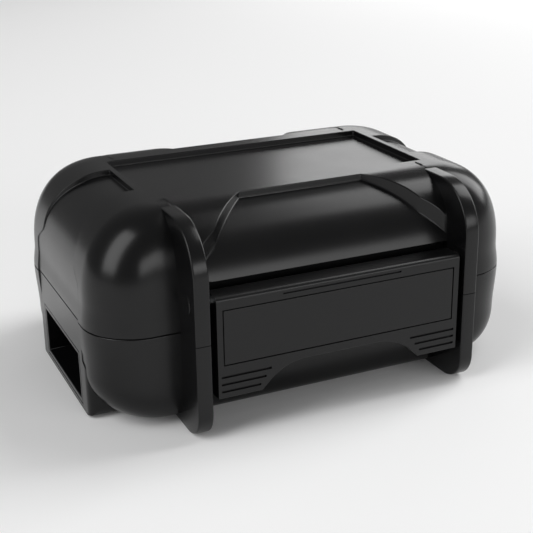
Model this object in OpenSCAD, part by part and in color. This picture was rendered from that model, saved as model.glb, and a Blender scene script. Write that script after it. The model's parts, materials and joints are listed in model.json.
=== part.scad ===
// Rodent bait station: a rounded clamshell box on four hoop legs, with an
// entrance at each end, a hinged lid, a wide front flap and a bait tray inside.
// Z is up, the front faces -Y, and the origin is on the ground below the middle.

/* [Body] */
// Length of the box at the joint between lid and base
body_length = 276.4; // [240:0.4:330]
// Depth of the box at the joint between lid and base
body_depth = 173; // [160:0.5:210]
// Height of the flat rim on top of the lid above the ground
body_height = 125.4; // [110:0.2:160]
// Height of the joint between lid and base above the ground
joint_height = 58.8; // [50:0.2:75]
// Height of the underside of the box above the ground
belly_height = 3; // [2:0.5:8]
// Wall thickness of the lid and the base
wall = 3; // [2:0.25:4]
// Corner radius of the box seen from above, at the joint
corner_r = 33; // [26:1:44]
// How far the ends lean in between the joint and the start of the rounding
end_draft = 2.4; // [0.5:0.1:4]
// How far the front and back lean in over the same height
side_draft = 0.7; // [0.3:0.1:4]
// Gap between the lid's edge and the base's edge
joint_gap = 0.4; // [0.2:0.1:1]

/* [Lid rounding] */
// Height of the rounded part of the lid
lid_round_h = 52; // [36:0.5:56]
// Reach of the lid's rounding along the length
lid_round_end = 42.8; // [30:0.2:50]
// Reach of the lid's rounding along the depth, outside the hoops
lid_round_side = 30.6; // [20:0.2:31]
// Corner radius of the lid's flat top, seen from above
lid_top_r = 8; // [4:1:20]

/* [Base rounding] */
// Height of the rounded part of the base
base_round_h = 27; // [16:0.5:34]
// Reach of the base's rounding along the length
base_round_end = 32.6; // [20:0.2:40]
// Reach of the base's rounding along the depth
base_round_side = 12.3; // [10:0.1:24]
// Corner radius of the base's flat underside
base_foot_r = 9; // [6:1:20]

/* [Hoops] */
// Thickness of each hoop
hoop_thick = 9; // [6:0.5:12]
// Clear width between the two hoops
hoop_span = 162.4; // [140:0.4:180]
// How far the hoops stand out in front of the box and behind it
hoop_standoff = 23.5; // [20:0.5:34]
// How far the top of a hoop stays below the lid's rim
hoop_drop = 0.6; // [0.4:0.1:3]
// Outer radius of a hoop's upper front corner
hoop_top_r = 31; // [22:1:36]
// Outer radius of a hoop's upper rear corner
hoop_rear_r = 69; // [31:1:72]
// Outer radius of a hoop's lower corners
hoop_foot_r = 17; // [8:1:24]

/* [Lid top] */
// Width of the rim beside the shallow pocket, at the ends
rim_end = 3.6; // [3:0.2:12]
// Width of the rim beside the shallow pocket, at the front and the back
rim_side = 11.8; // [6:0.2:16]
// Depth of the pocket in the lid
pocket_depth = 3.8; // [2:0.2:5]
// Length of the hood's top edge between its slanted sides
hood_top_length = 80.6; // [60:0.2:110]
// Depth of the step from the rim down to the hood
hood_step = 3.6; // [2:0.2:5]
// Radius of the hood's curved front
hood_r = 54.3; // [46:0.1:62]
// How far in front of the rim's edge the hood's curve reaches
hood_reach = 38.3; // [34:0.1:42]
// Height of the hood's lower edge above the ground
hood_edge_height = 87; // [84:0.2:95]
// Radius of the brow beside the hood
brow_r = 36; // [32:0.5:38]

/* [Ends] */
// Width of the hollow in each end, at the rim
channel_top_width = 48; // [30:1:60]
// Width of the hollow in each end, where it meets the flat
channel_width = 68; // [50:1:80]
// Depth of the hollow in each end, at the rim
channel_depth = 3.4; // [2:0.2:4]
// How far the flat at each end stands inside the longest point of the box
end_flat_inset = 0.9; // [0.5:0.1:2]
// Width of each entrance opening
entrance_width = 76; // [60:1:80]
// Height of the top of each entrance opening above the ground
entrance_top = 35; // [30:0.5:40]
// Width of the skirt that carries each end down to the ground
skirt_width = 114; // [100:1:118]
// Wall thickness of the entrance sleeves
sleeve_wall = 2.4; // [1.6:0.2:3]
// How far each entrance sleeve reaches into the box
sleeve_length = 36; // [24:1:44]
// Gap between a sleeve and the hole that it fills
sleeve_gap = 0.15; // [0.1:0.05:0.3]
// Radius of the skirt's upright edges
skirt_r = 7; // [3:0.5:12]

/* [Front flap] */
// Gap between each end of the flap and the hoop beside it
flap_end_gap = 3.6; // [2:0.2:6]
// Height of the flap's lower edge above the ground
flap_bottom = 24.6; // [20:0.2:30]
// How far the flap's face stays behind the front of the hoops
flap_inset = 0.8; // [0.4:0.1:2]
// Thickness of the flap's face and edges
flap_wall = 3.2; // [2:0.2:4]
// Depth of the flap's turned-back sides
flap_return = 10; // [6:0.5:12]
// Height of the flap's pivot above the ground
pivot_height = 80; // [77:0.2:82]
// Distance of the flap's pivot behind the front of the hoops
pivot_back = 13; // [11:0.2:15]
// Radius of the barrel around the flap's pivot
pivot_barrel_r = 5.2; // [4:0.1:6]
// Radius of the flap's pivot rod
pivot_rod_r = 2.5; // [2:0.1:3]
// Radius of the caps on the ends of the pivot rod
pivot_cap_r = 5.8; // [4.5:0.1:6.5]
// Distance from each end of the flap to the label plate
label_margin = 4.1; // [4:0.1:20]
// Height of the label plate in the flap
label_height = 32.2; // [20:0.2:36]
// Height of the label plate's lower edge above the ground
label_bottom = 44.9; // [43:0.1:50]
// Width of the line around the label plate
label_gap = 0.5; // [0.3:0.1:0.8]
// Length of the finger scoop where it meets the flap's lower edge
scoop_base = 102; // [80:1:110]
// Length of the finger scoop along its top
scoop_top = 73.2; // [40:0.2:80]
// Height of the finger scoop
scoop_height = 14.4; // [10:0.2:15]
// Radius of the finger scoop's upper corners
scoop_round = 33; // [8:1:36]

/* [Hinge] */
// Radius of the hinge knuckles
knuckle_r = 5; // [4:0.1:6]
// Radius of the hinge pins
hinge_pin_r = 2.5; // [2:0.1:3]
// Length of each hinge, over its three knuckles
hinge_length = 30; // [24:1:40]
// Distance from each hoop to the middle of the hinge beside it
hinge_inset = 27.2; // [20:0.2:40]

/* [Inside] */
// Length of the bait tray
tray_length = 126; // [100:1:140]
// Distance from the bait tray to the front and rear edges of the flat floor
tray_side_gap = 17.5; // [10:0.5:24]
// Height of the bait tray's walls
tray_height = 26; // [20:1:32]
// Wall thickness of the bait tray
tray_wall = 2; // [1.5:0.25:3]
// Radius of the bait rods
rod_r = 1.6; // [1.2:0.1:2.5]
// Distance between the front and the rear bait rods
rod_spacing = 54; // [40:1:60]
// Length of a bait block along its rod
block_length = 22; // [15:1:24]
// Width and height of a bait block
block_size = 20; // [14:1:24]
// Distance from each end of the bait tray to the middle of the baffle there
baffle_gap = 13; // [8:0.5:16]
// Thickness of the baffles
baffle_thick = 2.4; // [1.6:0.2:3]
// Height of the baffles above the floor
baffle_height = 46; // [36:1:50]
// Width of the passage through each baffle
passage_width = 48; // [40:1:60]

/* [Feet and anchors] */
// Radius of the rubber pads under the box
pad_r = 14; // [8:0.5:16]
// Distance between the middles of the left and the right pads
pad_spacing_x = 118; // [90:1:130]
// Distance from each baffle to the anchor holes beside it
anchor_gap = 12; // [10:0.5:16]
// Radius of the anchor holes
anchor_hole_r = 2.6; // [2:0.1:4]

/* [Hidden] */
$fn = 64;
eps = 0.01;
steps = 12;                      // levels in each rounding
arc_n = 14;                      // segments in each corner seen from above
run_gap = 0.05;                  // radial clearance of a shaft in its bore
fit_gap = 0.2;                   // clearance of a part that drops into place
side_gap = 0.4;                  // gap beside a part that turns
black = "#1b1c1e";
steel = "#a9adb1";
rubber = "#101011";
bait = "#2f6f6a";

half_l = body_length / 2;
half_d = body_depth / 2;
hoop_in = hoop_span / 2;
hoop_out = hoop_in + hoop_thick;
hoop_half_d = half_d + hoop_standoff;
hoop_depth = 2 * hoop_half_d;
hoop_top = body_height - hoop_drop;
full = 2.3;                      // how full the roundings are: 2 is an ellipse
lid_spring = body_height - lid_round_h;
base_spring = belly_height + base_round_h;
floor_z = belly_height + wall;
lid_edge = joint_height + joint_gap / 2;
base_edge = joint_height - joint_gap / 2;
rim_y = half_d - side_draft - lid_round_side;
rim_x = half_l - end_draft - lid_round_end;
pocket_length = 2 * (rim_x - rim_end);
pocket_width = 2 * (rim_y - rim_side);
pocket_floor = body_height - pocket_depth;
hood_top = body_height - hood_step;
skin_top = pocket_floor - wall;
flat_x = half_l - end_flat_inset;
floor_y = half_d - side_draft - base_round_side;
flat_half = half_d - corner_r - 7; // half width of the flat at each end
channel_blend = 10;              // height over which the hollow fades into the flat
flat_top = lid_spring + channel_blend;
past = 5;                        // how far a cut runs past the surface
skirt_inset = 6;                 // hoop to the inner end of the skirt
hood_turn = 15;                  // hoop to the point where the hood's sides turn
hood_splay = 8;                  // how far the sides come forward after the turn
channel_out = 1.2;               // how far the hollow's curve ends outside the lid

flap_length = hoop_span - 2 * flap_end_gap;
flap_half = flap_length / 2;
label_length = flap_length - 2 * label_margin;
flap_front = -hoop_half_d + flap_inset;
pivot_y = -hoop_half_d + pivot_back;
flap_top = pivot_height + pivot_barrel_r;
rod_bore_r = pivot_rod_r + run_gap;
cap_thick = 1.6;
label_depth = 1.2;
groove_depth = 0.8;
groove_h = 1.4;
groove_first = 4.2;              // flap's lower edge to the lowest grip groove
groove_pitch = 4.4;
groove_margin = 2;               // flap's end to the grip grooves
groove_clear = 4;                // scoop to the grip grooves
groove_lean = 0.75;              // how closely the grooves follow the scoop's side
slit_half = 37.7;
slit_drop = 2.2;                 // flap's upper edge to the slit
slit_h = 1;
flap_edge_r = 3;
rail_inset = 2;                  // how far the flap's lower rail stays in front of its sides
keeper_x = flap_half - 15.6;
keeper_w = 12;
tongue_w = 9;
tongue_h = 4;
tongue_lift = 3;
tongue_play = 1;
tongue_z = flap_bottom + flap_wall + tongue_lift;
keeper_z = tongue_z + tongue_h + tongue_play;
keeper_h = 8;
keeper_gap = 1.2;                // keeper to the back of the flap's face

hinge_y = hoop_half_d - knuckle_r;
hinge_place = hoop_in - hinge_inset;
knuckle_relief = knuckle_r * 1.3;
relief_back = 1.5;               // room for the lid's hoops as they turn down
hinge_bore_r = hinge_pin_r + run_gap;
knuckle_side = (hinge_length - 2 * side_gap) * 0.3;
knuckle_mid = hinge_length - 2 * side_gap - 2 * knuckle_side;

tray_z = floor_z + fit_gap;
tray_width = 2 * (floor_y - tray_side_gap);
rod_z = tray_z + tray_height - 6; // the rods lie 6 mm below the tray's rim
baffle_place = tray_length / 2 + baffle_gap;
baffle_border = 6;
baffle_sill = 4;
baffle_clear = 9;                // baffle's ends to the edges of the flat floor
rod_overhang = 3;
rod_end_gap = 0.5;
rod_length = tray_length / 2 + rod_overhang - rod_end_gap;
block_play = 0.4;
block_hole_r = rod_r + block_play;
anchor_boss_r = anchor_hole_r + 4;
anchor_boss_h = wall + 2;
anchor_x = baffle_place + anchor_gap;
anchor_y = entrance_width / 2 + sleeve_wall + anchor_boss_r + 1;
pad_y = floor_y - tray_side_gap;
pad_recess = 1;

// ---------------------------------------------------------------- outlines

// A rectangle of half sizes x and y with corners of radius r
function outline(x, y, r) = [
    for (quarter = [0:3], k = [0:arc_n])
        let (a = quarter * 90 + k * 90 / arc_n,
             sx = (quarter == 0 || quarter == 3) ? 1 : -1,
             sy = (quarter < 2) ? 1 : -1)
        [sx * (x - r) + r * cos(a), sy * (y - r) + r * sin(a)]
];

// Points of an arc about (cy, cz)
function arc(cy, cz, r, from, to, n) = [
    for (k = [0:n]) let (a = from + (to - from) * k / n)
        [cy + r * cos(a), cz + r * sin(a)]
];

module level(z, x, y, r) {
    translate([0, 0, z]) linear_extrude(eps) polygon(outline(x, y, r));
}

// One half of the rounded box: a leaning wall from the joint to z_spring, then
// a rounding to z_end, where the corners have radius end_r. reach is how far
// the rounding runs in along X and Y, and inset shrinks it to the inside.
module dome(z_joint, z_spring, z_end, reach, end_r, inset) {
    x1 = half_l - end_draft - reach[0];
    y1 = half_d - side_draft - reach[1];
    r0 = corner_r - inset;
    hull() {
        level(z_joint, half_l - inset, half_d - inset, r0);
        for (k = [0:steps]) {
            a = k * 90 / steps;
            c = pow(cos(a), 2 / full);
            level(z_spring + (z_end - z_spring) * pow(sin(a), 2 / full)
                      - (z_end > z_spring ? eps : 0),
                  x1 + (reach[0] - inset) * c, y1 + (reach[1] - inset) * c,
                  end_r + (r0 - end_r) * c);
        }
    }
}

lid_reach = [lid_round_end, lid_round_side];
base_reach = [base_round_end, base_round_side];

module lid_dome() {
    dome(lid_edge, lid_spring, body_height, lid_reach, lid_top_r, 0);
}

module lid_inside() {
    dome(lid_edge - 1, lid_spring, skin_top, lid_reach, lid_top_r, wall);
}

module base_dome() {
    dome(base_edge - eps, base_spring, belly_height, base_reach, base_foot_r, 0);
}

module base_inside() {
    dome(base_edge + 1, base_spring, floor_z, base_reach, base_foot_r, wall);
}

// A solid with the outline points [y, z], running along X from x0 to x1
module along_x(x0, x1, points) {
    translate([x0, 0, 0]) rotate([90, 0, 90]) linear_extrude(x1 - x0)
        polygon(points);
}

module box(lo, hi) {
    translate(lo) cube(hi - lo);
}

// ---------------------------------------------------------------- hoops

function hoop_outline() = concat(
    arc(hoop_half_d - hoop_rear_r, hoop_top - hoop_rear_r, hoop_rear_r, 0, 90, 24),
    arc(-hoop_half_d + hoop_top_r, hoop_top - hoop_top_r, hoop_top_r, 90, 180, 16),
    arc(-hoop_half_d + hoop_foot_r, hoop_foot_r, hoop_foot_r, 180, 270, 12),
    arc(hoop_half_d - hoop_foot_r, hoop_foot_r, hoop_foot_r, 270, 360, 12)
);

module hoops(z0, z1) {
    intersection() {
        for (side = [-1, 1])
            along_x(side * (hoop_in + hoop_thick / 2) - hoop_thick / 2,
                    side * (hoop_in + hoop_thick / 2) + hoop_thick / 2,
                    hoop_outline());
        box([-hoop_out - 1, -hoop_half_d - 1, z0],
            [hoop_out + 1, hoop_half_d + 1, z1]);
    }
}

// ---------------------------------------------------------------- lid

// The fuller stretch of lid between the hoops, one side of the middle
function brow_outline() = concat(
    [[0, hood_edge_height], [0, body_height]],
    arc(-rim_y, body_height - brow_r, brow_r, 90, 180, 16),
    [[-rim_y - brow_r, hood_edge_height]]
);

// The hood's curve runs from the rim's edge to its reach
hood_cy = -rim_y - hood_reach + hood_r;
hood_cz = hood_top - sqrt(pow(hood_r, 2) - pow(hood_cy + rim_y, 2));
hood_a0 = atan2(hood_top - hood_cz, -rim_y - hood_cy);
hood_a1 = 180 - asin((hood_edge_height - hood_cz) / hood_r);

function hood_outline() = concat(
    [[0, hood_edge_height], [0, hood_top]],
    arc(hood_cy, hood_cz, hood_r, hood_a0, hood_a1, 20)
);

// The hollow above the hood, seen from above: it widens towards the hoops
module hood_hollow() {
    half = hood_top_length / 2;
    turn = hoop_in - hood_turn;
    turn_y = rim_y + (turn - half);
    translate([0, 0, hood_edge_height])
        linear_extrude(body_height - hood_edge_height + 1)
            polygon([[-half, -rim_y], [half, -rim_y], [turn, -turn_y],
                     [hoop_in, -turn_y - hood_splay], [hoop_in, -hoop_half_d],
                     [-hoop_in, -hoop_half_d], [-hoop_in, -turn_y - hood_splay],
                     [-turn, -turn_y]]);
}

// What the hollow in an end takes away, on the +X side
module channel_cut() {
    profile = concat(
        [for (k = [0:16]) let (a = 90 - k * 90 / 16)
            [rim_x + (lid_round_end - channel_out) * pow(cos(a), 2 / full),
             lid_spring + (lid_round_h - channel_depth) * pow(sin(a), 2 / full)]],
        [[flat_x, joint_height - 1], [half_l + past, joint_height - 1],
         [half_l + past, body_height + past], [rim_x, body_height + past]]
    );
    intersection() {
        translate([0, hoop_half_d, 0]) rotate([90, 0, 0])
            linear_extrude(hoop_depth) polygon(profile);
        union() {
            box([0, -channel_width / 2, 0],
                [half_l + past, channel_width / 2, flat_top]);
            rotate([0, 90, 0]) linear_extrude(half_l + past)
                polygon([[-lid_spring, -channel_width / 2],
                         [-body_height - 1, -channel_top_width / 2],
                         [-body_height - 1, channel_top_width / 2],
                         [-lid_spring, channel_width / 2]]);
            box([0, -flat_half, 0], [half_l + past, flat_half, flat_top]);
        }
    }
}

module knuckle(x0, x1) {
    translate([x0, hinge_y, joint_height]) rotate([0, 90, 0])
        cylinder(r = knuckle_r, h = x1 - x0);
}

module hinge_bores(extra) {
    for (side = [-1, 1])
        translate([side * hinge_place - hinge_length / 2 - extra, hinge_y,
                   joint_height])
            rotate([0, 90, 0])
                cylinder(r = hinge_bore_r, h = hinge_length + 2 * extra);
}

module pivot_bores() {
    translate([-hoop_out - 1, pivot_y, pivot_height]) rotate([0, 90, 0])
        cylinder(r = rod_bore_r, h = 2 * hoop_out + 2);
    for (side = [-1, 1])
        translate([side * (hoop_out - cap_thick / 2) - cap_thick / 2 - 0.5,
                   pivot_y, pivot_height])
            rotate([0, 90, 0])
                translate([0, 0, side > 0 ? 0.5 : 0])
                    cylinder(r = pivot_cap_r + run_gap, h = cap_thick + 0.5);
}

module lid_shell() {
    color(black) difference() {
        union() {
            difference() {
                union() {
                    lid_dome();
                    for (m = [0, 1]) mirror([0, m, 0])
                        along_x(-hoop_in - eps, hoop_in + eps, brow_outline());
                }
                for (m = [0, 1]) mirror([0, m, 0]) hood_hollow();
                for (m = [0, 1]) mirror([m, 0, 0]) channel_cut();
            }
            for (m = [0, 1]) mirror([0, m, 0])
                along_x(-hoop_in - eps, hoop_in + eps, hood_outline());
            hoops(lid_edge, body_height);
            for (side = [-1, 1]) {
                x0 = side * hinge_place - knuckle_mid / 2;
                knuckle(x0, x0 + knuckle_mid);
                box([x0, half_d - wall - 1, lid_edge],
                    [x0 + knuckle_mid, hinge_y, joint_height + knuckle_r]);
            }
        }
        lid_inside();
        translate([0, 0, pocket_floor + past])
            cube([pocket_length, pocket_width, 2 * past], center = true);
        hinge_bores(1);
        pivot_bores();
    }
}

// ---------------------------------------------------------------- base

// A block under each end, with its sides square to the end and rounded edges,
// and the flat that carries it up to the joint
module skirt() {
    inner = hoop_out + skirt_inset;
    for (m = [0, 1]) mirror([m, 0, 0]) {
        box([half_l - 3 * wall, -flat_half, 0], [flat_x, flat_half, base_edge]);
        linear_extrude(base_spring)
            intersection() {
                polygon(outline(flat_x, skirt_width / 2, skirt_r));
                translate([inner, -half_d]) square([half_l, body_depth]);
            }
    }
}

// Room for a sleeve, on the +X side
module sleeve_hole() {
    w = entrance_width / 2 + sleeve_wall + sleeve_gap;
    box([flat_x - sleeve_length, -w, floor_z - sleeve_wall - sleeve_gap],
        [half_l + past, w, entrance_top + sleeve_wall + sleeve_gap]);
}

module keeper() {
    box([keeper_x - keeper_w / 2, flap_front + flap_wall + keeper_gap, keeper_z],
        [keeper_x + keeper_w / 2, -half_d + wall, keeper_z + keeper_h]);
}

module anchor_bosses() {
    for (sx = [-1, 1], sy = [-1, 1])
        translate([sx * anchor_x, sy * anchor_y, belly_height])
            cylinder(r = anchor_boss_r, h = anchor_boss_h);
}

module base_shell() {
    color(black) difference() {
        union() {
            base_dome();
            skirt();
            difference() {
                hoops(0, base_edge);
                box([-hoop_out - 1, hinge_y - relief_back, joint_height - knuckle_relief],
                    [hoop_out + 1, hoop_half_d + 1, joint_height + 1]);
            }
            for (side = [-1, 1]) {
                x0 = side * hinge_place - hinge_length / 2;
                for (x = [x0, x0 + hinge_length - knuckle_side]) {
                    knuckle(x, x + knuckle_side);
                    box([x, half_d - wall - 1, joint_height - knuckle_r],
                        [x + knuckle_side, hinge_y, base_edge]);
                }
            }
            for (m = [0, 1]) mirror([m, 0, 0]) keeper();
            anchor_bosses();
        }
        difference() {
            base_inside();
            anchor_bosses();
        }
        for (m = [0, 1]) mirror([m, 0, 0]) {
            sleeve_hole();
            box([flat_x, -flat_half, -1], [half_l + past, flat_half, joint_height + 1]);
        }
        hinge_bores(1);
        for (sx = [-1, 1], sy = [-1, 1]) {
            translate([sx * anchor_x, sy * anchor_y, -1])
                cylinder(r = anchor_hole_r, h = floor_z + anchor_boss_h);
            translate([sx * pad_spacing_x / 2, sy * pad_y, belly_height - 1])
                cylinder(r = pad_r + fit_gap, h = 1 + pad_recess);
        }
    }
}

// An open box that lines an entrance, on the +X side
module sleeve_right() {
    w = entrance_width / 2;
    difference() {
        box([flat_x - sleeve_length + sleeve_gap, -w - sleeve_wall, floor_z - sleeve_wall],
            [flat_x, w + sleeve_wall, entrance_top + sleeve_wall]);
        box([flat_x - sleeve_length - 1, -w, floor_z], [flat_x + 1, w, entrance_top]);
    }
}

module entrance_sleeve_right() {
    color(black) sleeve_right();
}

module entrance_sleeve_left() {
    color(black) mirror([1, 0, 0]) sleeve_right();
}

// ---------------------------------------------------------------- front flap

function flap_outline() = concat(
    [[flap_front, flap_bottom]],
    arc(flap_front + flap_edge_r, flap_top - flap_edge_r, flap_edge_r, 180, 90, 6),
    arc(pivot_y, pivot_height, pivot_barrel_r, 90, -90, 16),
    [[flap_front + flap_wall, pivot_height - pivot_barrel_r],
     [flap_front + flap_wall, flap_bottom]]
);

// The finger scoop: a notch with slanted sides and rounded upper corners.
// grow makes the same shape larger all round, for the lip that follows it.
module scoop(grow) {
    run = (scoop_base - scoop_top) / 2;
    slope = atan2(scoop_height, run);
    top = flap_bottom + scoop_height + grow;
    turn = scoop_round * tan(slope / 2);
    half = scoop_top / 2 + grow * tan(slope / 2);
    corner = [for (k = [0:6]) let (a = slope * k / 6)
        [half - turn + scoop_round * sin(a), top - scoop_round * (1 - cos(a))]];
    foot = half + (top - flap_bottom + past) / tan(slope);
    right = concat(corner, [[foot, flap_bottom - past]]);
    points = concat(right, [for (k = [len(right) - 1:-1:0])
        [-right[k][0], right[k][1]]]);
    translate([0, -pivot_back + flap_front + 2 * pivot_back, 0])
        rotate([90, 0, 0]) linear_extrude(3 * pivot_back) polygon(points);
}

module flap_body() {
    half = flap_half;
    back = flap_front + flap_return;
    difference() {
        union() {
            along_x(-half, half, flap_outline());
            for (side = [-1, 1])
                box([side * (half - flap_wall / 2) - flap_wall / 2, flap_front,
                     flap_bottom],
                    [side * (half - flap_wall / 2) + flap_wall / 2, back,
                     pivot_height]);
            box([-half, flap_front, flap_bottom],
                [half, back - rail_inset, flap_bottom + flap_wall]);
            intersection() {
                scoop(flap_wall);
                box([-half, flap_front, flap_bottom],
                    [half, back - rail_inset, pivot_height]);
            }
        }
        scoop(0);
    }
    for (side = [-1, 1])
        box([side * keeper_x - tongue_w / 2, flap_front + eps, tongue_z],
            [side * keeper_x + tongue_w / 2, pivot_y + 2, tongue_z + tongue_h]);
}

module latch_flap() {
    half = flap_half;
    slope_run = (scoop_base - scoop_top) / 2 / scoop_height;
    color(black) difference() {
        flap_body();
        translate([-half - 1, pivot_y, pivot_height]) rotate([0, 90, 0])
            cylinder(r = rod_bore_r, h = flap_length + 2);
        box([-label_length / 2 - label_gap, flap_front - 1, label_bottom - label_gap],
            [label_length / 2 + label_gap, flap_front + label_depth,
             label_bottom + label_height + label_gap]);
        box([-slit_half, flap_front - 1, flap_top - slit_drop - slit_h],
            [slit_half, flap_front + groove_depth, flap_top - slit_drop]);
        for (side = [-1, 1], k = [0:2]) {
            z = flap_bottom + groove_first + k * groove_pitch;
            inner = scoop_base / 2 + groove_clear
                    - (z - flap_bottom) * slope_run * groove_lean;
            outer = half - groove_margin;
            box([side > 0 ? inner : -outer, flap_front - 1, z - groove_h / 2],
                [side > 0 ? outer : -inner, flap_front + groove_depth,
                 z + groove_h / 2]);
        }
    }
}

module label_plate() {
    color(black)
        box([-label_length / 2, flap_front, label_bottom],
            [label_length / 2, flap_front + label_depth, label_bottom + label_height]);
}

module pivot_rod() {
    color(steel)
        translate([-hoop_out + cap_thick, pivot_y, pivot_height]) rotate([0, 90, 0])
            cylinder(r = pivot_rod_r, h = 2 * (hoop_out - cap_thick));
}

module pivot_cap(side) {
    color(black)
        translate([side * (hoop_out - cap_thick / 2) - cap_thick / 2, pivot_y,
                   pivot_height])
            rotate([0, 90, 0]) cylinder(r = pivot_cap_r, h = cap_thick);
}

module pivot_cap_left() {
    pivot_cap(-1);
}

module pivot_cap_right() {
    pivot_cap(1);
}

module hinge_pin(side) {
    color(steel)
        translate([side * hinge_place - hinge_length / 2, hinge_y, joint_height])
            rotate([0, 90, 0]) cylinder(r = hinge_pin_r, h = hinge_length);
}

module hinge_pin_left() {
    hinge_pin(-1);
}

module hinge_pin_right() {
    hinge_pin(1);
}

// ---------------------------------------------------------------- inside

module baffle(side) {
    x = side * baffle_place;
    depth = floor_y - baffle_clear;
    z0 = floor_z + fit_gap;
    color(black) difference() {
        box([x - baffle_thick / 2, -depth, z0],
            [x + baffle_thick / 2, depth, z0 + baffle_height]);
        box([x - baffle_thick, depth - baffle_border - passage_width,
             z0 + baffle_sill],
            [x + baffle_thick, depth - baffle_border,
             z0 + baffle_height - baffle_border]);
    }
}

module baffle_left() {
    baffle(-1);
}

module baffle_right() {
    baffle(1);
}

module bait_tray() {
    hl = tray_length / 2;
    hw = tray_width / 2;
    top = tray_z + tray_height;
    notch = rod_r + fit_gap;
    color(black) difference() {
        box([-hl, -hw, tray_z], [hl, hw, top]);
        for (side = [-1, 1]) {
            x0 = side > 0 ? tray_wall / 2 : -hl + tray_wall;
            box([x0, -hw + tray_wall, tray_z + tray_wall],
                [x0 + hl - tray_wall * 1.5, hw - tray_wall, top + 1]);
        }
        for (y = [-rod_spacing / 2, rod_spacing / 2]) {
            box([-hl - 1, y - notch, rod_z], [hl + 1, y + notch, top + 1]);
            translate([-hl - 1, y, rod_z]) rotate([0, 90, 0])
                cylinder(r = notch, h = tray_length + 2);
        }
    }
}

module bait_rod(sx, sy) {
    x0 = sx > 0 ? rod_end_gap : -rod_length - rod_end_gap;
    color(steel)
        translate([x0, sy * rod_spacing / 2, rod_z - fit_gap]) rotate([0, 90, 0])
            cylinder(r = rod_r, h = rod_length);
}

module bait_rod_left_front() {
    bait_rod(-1, -1);
}

module bait_rod_left_rear() {
    bait_rod(-1, 1);
}

module bait_rod_right_front() {
    bait_rod(1, -1);
}

module bait_rod_right_rear() {
    bait_rod(1, 1);
}

// Blocks 1 to 4 hang on the front rods from left to right, 5 to 8 on the rear
module bait_block(number) {
    index = (number - 1) % 4;
    sx = index < 2 ? -1 : 1;
    place = (index % 2 == (sx < 0 ? 1 : 0)) ? 1 : 2;
    pitch = (tray_length / 2 - tray_wall * 1.5) / 2;
    x = sx * (tray_wall / 2 + pitch * (place - 0.5));
    y = (number <= 4 ? -1 : 1) * rod_spacing / 2;
    z = rod_z - fit_gap - block_play;
    edge = block_size / 2;
    cut = block_size / 6;
    color(bait) difference() {
        translate([x - block_length / 2, y, z]) rotate([90, 0, 90])
            linear_extrude(block_length)
                polygon([[-edge + cut, -edge], [edge - cut, -edge],
                         [edge, -edge + cut], [edge, edge - cut],
                         [edge - cut, edge], [-edge + cut, edge],
                         [-edge, edge - cut], [-edge, -edge + cut]]);
        translate([x - block_length / 2 - 1, y, z]) rotate([0, 90, 0])
            cylinder(r = block_hole_r, h = block_length + 2);
    }
}

module bait_block_1() {
    bait_block(1);
}

module bait_block_2() {
    bait_block(2);
}

module bait_block_3() {
    bait_block(3);
}

module bait_block_4() {
    bait_block(4);
}

module bait_block_5() {
    bait_block(5);
}

module bait_block_6() {
    bait_block(6);
}

module bait_block_7() {
    bait_block(7);
}

module bait_block_8() {
    bait_block(8);
}

module pad(sx, sy) {
    color(rubber)
        translate([sx * pad_spacing_x / 2, sy * pad_y, 0])
            cylinder(r = pad_r, h = belly_height + pad_recess);
}

module pad_front_left() {
    pad(-1, -1);
}

module pad_front_right() {
    pad(1, -1);
}

module pad_rear_left() {
    pad(-1, 1);
}

module pad_rear_right() {
    pad(1, 1);
}

base_shell();
lid_shell();
latch_flap();
label_plate();
pivot_rod();
pivot_cap_left();
pivot_cap_right();
hinge_pin_left();
hinge_pin_right();
entrance_sleeve_left();
entrance_sleeve_right();
baffle_left();
baffle_right();
bait_tray();
bait_rod_left_front();
bait_rod_left_rear();
bait_rod_right_front();
bait_rod_right_rear();
bait_block_1();
bait_block_2();
bait_block_3();
bait_block_4();
bait_block_5();
bait_block_6();
bait_block_7();
bait_block_8();
pad_front_left();
pad_front_right();
pad_rear_left();
pad_rear_right();
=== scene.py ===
"""Bait station: a glossy black clamshell box on two hoops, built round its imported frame."""

import json
import math

import bmesh
import bpy
import numpy as np
from mathutils import Matrix, Vector

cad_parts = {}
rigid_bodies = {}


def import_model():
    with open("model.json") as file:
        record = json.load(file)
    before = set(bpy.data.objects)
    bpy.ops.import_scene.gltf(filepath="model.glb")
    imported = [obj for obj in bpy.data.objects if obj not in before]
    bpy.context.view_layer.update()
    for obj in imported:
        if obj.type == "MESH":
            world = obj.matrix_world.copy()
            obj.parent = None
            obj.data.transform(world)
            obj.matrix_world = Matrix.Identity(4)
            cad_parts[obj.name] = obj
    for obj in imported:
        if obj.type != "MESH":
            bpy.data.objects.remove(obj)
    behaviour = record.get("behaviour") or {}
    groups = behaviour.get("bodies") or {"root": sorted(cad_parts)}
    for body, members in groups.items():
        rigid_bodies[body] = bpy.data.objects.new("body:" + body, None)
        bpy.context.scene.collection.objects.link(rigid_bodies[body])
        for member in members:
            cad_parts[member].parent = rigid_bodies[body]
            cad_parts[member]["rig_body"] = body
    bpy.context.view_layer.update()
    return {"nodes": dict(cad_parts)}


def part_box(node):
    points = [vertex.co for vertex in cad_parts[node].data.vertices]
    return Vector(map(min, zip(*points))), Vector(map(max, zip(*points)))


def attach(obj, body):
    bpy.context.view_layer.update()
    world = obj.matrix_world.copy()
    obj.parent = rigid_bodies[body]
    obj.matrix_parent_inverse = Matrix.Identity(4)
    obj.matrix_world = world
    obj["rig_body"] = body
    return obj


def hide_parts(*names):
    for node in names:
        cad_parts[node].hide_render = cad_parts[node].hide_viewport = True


bl_info = {
    "name": "Bait Station",
    "version": (1, 0, 0),
    "blender": (4, 5, 0),
    "location": "3D View > Sidebar > Bait Station",
    "description": "Builds a hinged bait station with smooth moulded shells",
    "category": "Add Mesh",
}

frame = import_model()
MM = 0.001


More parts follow.
